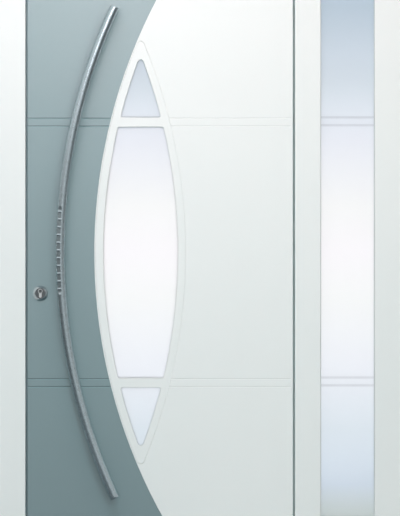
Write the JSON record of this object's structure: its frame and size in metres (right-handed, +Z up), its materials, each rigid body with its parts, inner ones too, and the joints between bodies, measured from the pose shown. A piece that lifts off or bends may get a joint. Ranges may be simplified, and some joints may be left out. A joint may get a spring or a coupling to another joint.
{
  "type": "front door with sidelight",
  "caption": "Aluminium front door with curved two-tone skins, lens-shaped light, long bowed bar handle and a fixed satin-glass sidelight.",
  "frame": {"origin": "underside of the threshold, middle of its width and of the frame's depth", "axes": "+Z up, +Y into the house, +X to the right as seen from outside"},
  "size_m": [1.5, 0.228, 2.25],
  "materials": {
    "frame_white": "satin powder coat",
    "leaf_white": "smooth satin lacquer",
    "leaf_grey": "smooth satin lacquer",
    "inside_white": "satin powder coat",
    "satin_glass": "satin",
    "steel_bar": "brushed along the bar",
    "chrome": "polished",
    "lock_brass": "nickel plated",
    "steel_plate": "satin",
    "rubber": "matt",
    "aluminium": "natural anodised",
    "foam": "rigid foam"
  },
  "bodies": {
    "root": {"threshold": "aluminium", "frame_jamb_left": "frame_white", "frame_jamb_right": "frame_white", "frame_head": "frame_white", "frame_mullion": "frame_white", "sidelight_bottom_rail": "frame_white", "door_stop_seal": "rubber", "sidelight_gasket": "rubber", "sidelight_glass_outer": "satin_glass", "sidelight_glass_inner": "satin_glass", "sidelight_spacer": "aluminium", "sidelight_bead_left": "frame_white", "sidelight_bead_right": "frame_white", "sidelight_bead_top": "frame_white", "sidelight_bead_bottom": "frame_white", "strike_plate": "steel_plate", "hinge_frame_bottom": "frame_white", "hinge_frame_middle": "frame_white", "hinge_frame_top": "frame_white"},
    "leaf": {"leaf_stile_lock": "frame_white", "leaf_stile_hinge": "frame_white", "leaf_rail_top": "frame_white", "leaf_rail_bottom": "frame_white", "drop_seal": "rubber", "panel_core": "foam", "inner_skin": "inside_white", "outer_skin_grey": "leaf_grey", "outer_skin_white": "leaf_white", "eye_surround": "leaf_white", "eye_inner_trim": "inside_white", "eye_glass_outer": "satin_glass", "eye_glass_inner": "satin_glass", "eye_spacers": "aluminium", "handle_bar": "steel_bar", "handle_cap_top": "steel_bar", "handle_cap_bottom": "steel_bar", "handle_post_upper": "steel_bar", "handle_post_upper_middle": "steel_bar", "handle_post_lower_middle": "steel_bar", "handle_post_lower": "steel_bar", "rosette_outside": "chrome", "lock_cylinder": "lock_brass", "inside_plate": "steel_plate", "lever_handle": "steel_plate", "lock_faceplate": "steel_plate", "latch_bolt": "steel_plate", "dead_bolt": "steel_plate", "hinge_leaf_bottom": "frame_white", "hinge_leaf_middle": "frame_white", "hinge_leaf_top": "frame_white"},
    "plug": {"key_plug": "lock_brass"}
  },
  "joints": [
    {"name": "door_swing", "type": "hinge", "parent": "root", "child": "leaf", "pos_m": [0.3745, 0.05, 0], "axis": [0, 0, -1], "range_deg": [0, 95]},
    {"name": "key_turn", "type": "hinge", "parent": "leaf", "child": "plug", "pos_m": [-0.5985, -0.05, 0.942], "axis": [0, -1, 0], "continuous": true}
  ]
}
